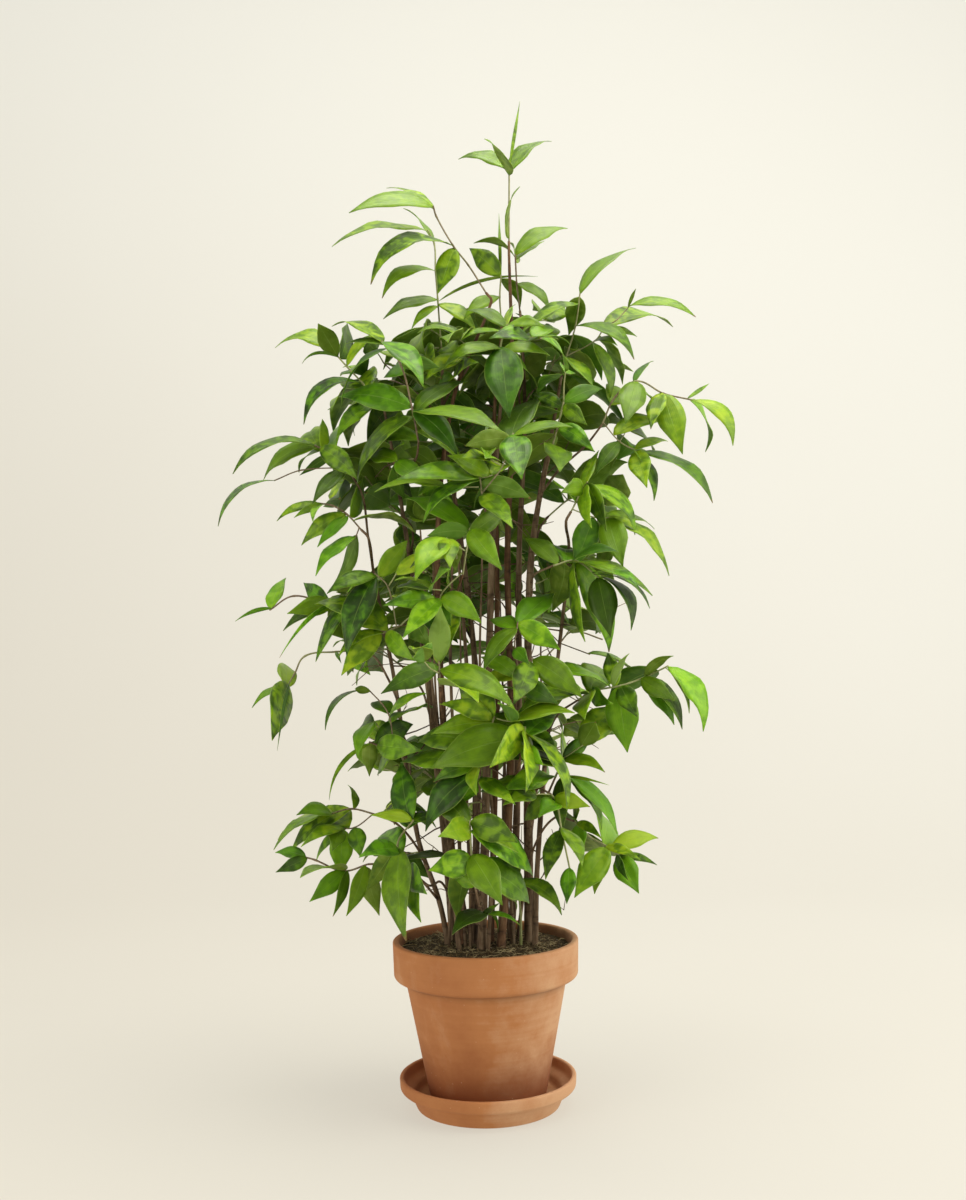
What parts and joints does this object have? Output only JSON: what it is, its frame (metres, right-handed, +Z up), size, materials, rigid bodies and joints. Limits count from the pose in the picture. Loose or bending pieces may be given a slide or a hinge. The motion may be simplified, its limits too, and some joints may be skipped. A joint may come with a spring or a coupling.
{
  "type": "potted dracaena",
  "caption": "Gold dust dracaena with upright woody canes and dense lance-shaped leaves, in a clay pot on a clay saucer.",
  "frame": {"origin": "centre of the flat underside of the saucer, on the floor", "axes": "+Z up along the pot and the canes; the pictured side faces -Y, with +X to its right"},
  "size_m": [0.5757, 0.4877, 1.1597],
  "materials": {
    "clay": "matte",
    "soil": "matte",
    "bark": "matte",
    "leaf": "satin"
  },
  "bodies": {
    "root": {"cane_back": "bark", "cane_front": "bark", "cane_leader": "bark", "cane_left_back": "bark", "cane_left_front": "bark", "cane_left_thin": "bark", "cane_middle": "bark", "cane_right": "bark", "cane_right_back": "bark", "cane_right_thin": "bark", "pot": "clay", "saucer": "clay", "soil": "soil", "spray_back_crown": "leaf", "spray_back_high": "leaf", "spray_back_left": "leaf", "spray_back_low_left": "leaf", "spray_back_low_right": "leaf", "spray_back_lower_left": "leaf", "spray_back_lower_right": "leaf", "spray_back_middle_left": "leaf", "spray_back_middle_right": "leaf", "spray_back_right": "leaf", "spray_back_upper_left": "leaf", "spray_back_upper_right": "leaf", "spray_left_bent": "leaf", "spray_left_fan": "leaf", "spray_left_low": "leaf", "spray_left_low_inner": "leaf", "spray_left_low_outer": "leaf", "spray_left_middle": "leaf", "spray_left_middle_front": "leaf", "spray_left_top": "leaf", "spray_left_upper": "leaf", "spray_left_upper_inner": "leaf", "spray_low_front": "leaf", "spray_low_middle": "leaf", "spray_low_right": "leaf", "spray_low_right_hanging": "leaf", "spray_lower_middle": "leaf", "spray_lower_middle_fan": "leaf", "spray_lower_right": "leaf", "spray_middle": "leaf", "spray_middle_left": "leaf", "spray_middle_right": "leaf", "spray_middle_top": "leaf", "spray_right_fan": "leaf", "spray_right_far": "leaf", "spray_right_hanging": "leaf", "spray_right_middle": "leaf", "spray_right_top": "leaf", "spray_soil_shoot": "leaf", "spray_top_leader": "leaf", "spray_top_left": "leaf", "spray_top_middle": "leaf", "spray_top_right": "leaf", "spray_top_thin": "leaf", "spray_upper_left": "leaf", "spray_upper_middle": "leaf", "spray_upper_right": "leaf"}
  },
  "joints": []
}
